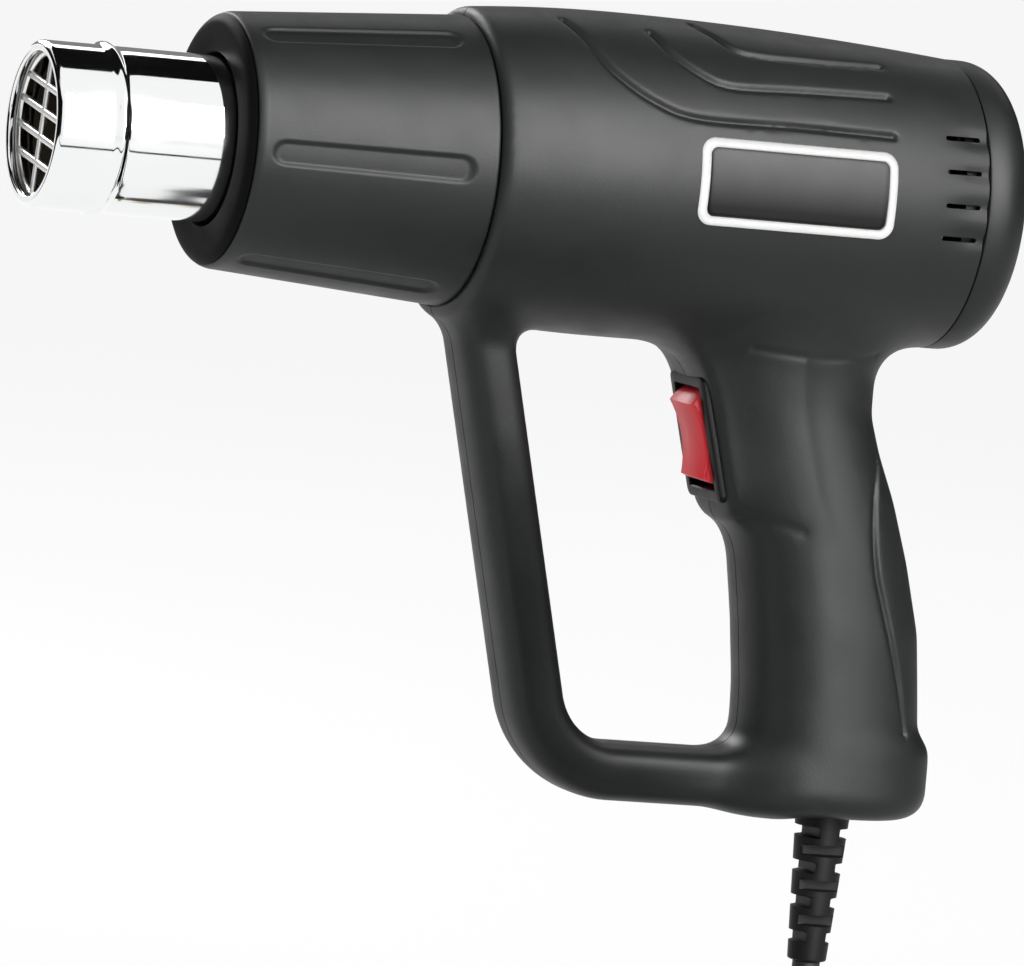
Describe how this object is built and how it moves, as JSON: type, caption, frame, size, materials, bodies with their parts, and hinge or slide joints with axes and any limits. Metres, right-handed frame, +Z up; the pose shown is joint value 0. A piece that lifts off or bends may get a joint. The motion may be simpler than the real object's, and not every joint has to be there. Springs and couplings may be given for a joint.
{
  "type": "hot air tool",
  "caption": "Pistol-shaped electric hot air tool with a closed loop handle, steel outlet tube with guard, rocker switch and mains cord.",
  "frame": {"origin": "middle of the hand grip, on the mirror plane of the housing", "axes": "+X along the barrel from outlet to rear cap, +Z up the grip, +Y to the right side with the screw heads; badge on the -Y side"},
  "size_m": [0.2201, 0.1539, 0.2458],
  "materials": {
    "charcoal_plastic": "fine moulded grain",
    "black_plastic": "satin",
    "red_plastic": "smooth",
    "chrome_steel": "polished",
    "white_plastic": "smooth",
    "badge_plate": "grey above fading to black below, bare",
    "rubber": "dull",
    "mica": "mica laminate",
    "ceramic": "unglazed ceramic",
    "heat_wire": "oxidised resistance wire",
    "zinc_steel": "zinc plated",
    "brass": "bright",
    "bronze": "sintered bronze and copper windings",
    "ferrite": "sintered ferrite",
    "duct_grey": "moulded",
    "board_green": "solder mask",
    "brown_wire": "wire insulation",
    "blue_wire": "wire insulation",
    "red_wire": "wire insulation"
  },
  "bodies": {
    "gun": {"left_housing": "charcoal_plastic", "right_housing": "charcoal_plastic", "front_sleeve": "charcoal_plastic", "rear_cap": "charcoal_plastic", "housing_screw_1": "zinc_steel", "housing_screw_2": "zinc_steel", "housing_screw_3": "zinc_steel", "housing_screw_4": "zinc_steel", "housing_screw_5": "zinc_steel", "housing_screw_6": "zinc_steel", "thermal_cutout": "zinc_steel", "motor_can": "zinc_steel", "clamp_screw_1": "zinc_steel", "clamp_screw_2": "zinc_steel", "badge_frame": "white_plastic", "badge_plate": "badge_plate", "nozzle_tube": "chrome_steel", "nozzle_grille": "chrome_steel", "front_ring": "black_plastic", "switch_body": "black_plastic", "motor_end_bell": "black_plastic", "cord_clamp": "black_plastic", "cord_tie": "black_plastic", "motor_lead_2": "black_plastic", "motor_lead_1": "red_wire", "switch_terminal_1": "brass", "switch_terminal_2": "brass", "switch_terminal_3": "brass", "plug_blade_1": "brass", "plug_blade_2": "brass", "mica_liner": "mica", "mica_board_upright": "mica", "mica_board_level": "mica", "element_base": "ceramic", "heating_coil": "heat_wire", "air_duct": "duct_grey", "motor_bush_front": "bronze", "motor_bush_rear": "bronze", "motor_magnet": "ferrite", "rectifier_board": "board_green", "live_wire": "brown_wire", "heater_wire": "brown_wire", "neutral_wire": "blue_wire", "strain_relief": "rubber", "cord_inner": "rubber", "cord_lead": "rubber", "cord_coil": "rubber", "cord_tail": "rubber", "plug_body": "rubber"},
    "rocker": {"rocker": "red_plastic"},
    "rotor": {"armature": "bronze", "motor_shaft": "chrome_steel", "impeller": "black_plastic"}
  },
  "joints": [
    {"name": "rocker_tilt", "type": "hinge", "parent": "gun", "child": "rocker", "pos_m": [-0.02633, 0, 0.03144], "axis": [0, 1, 0], "range_deg": [-11, 11]},
    {"name": "fan_spin", "type": "hinge", "parent": "gun", "child": "rotor", "pos_m": [-0.005, 0, 0.084], "axis": [1, 0, 0], "continuous": true}
  ]
}
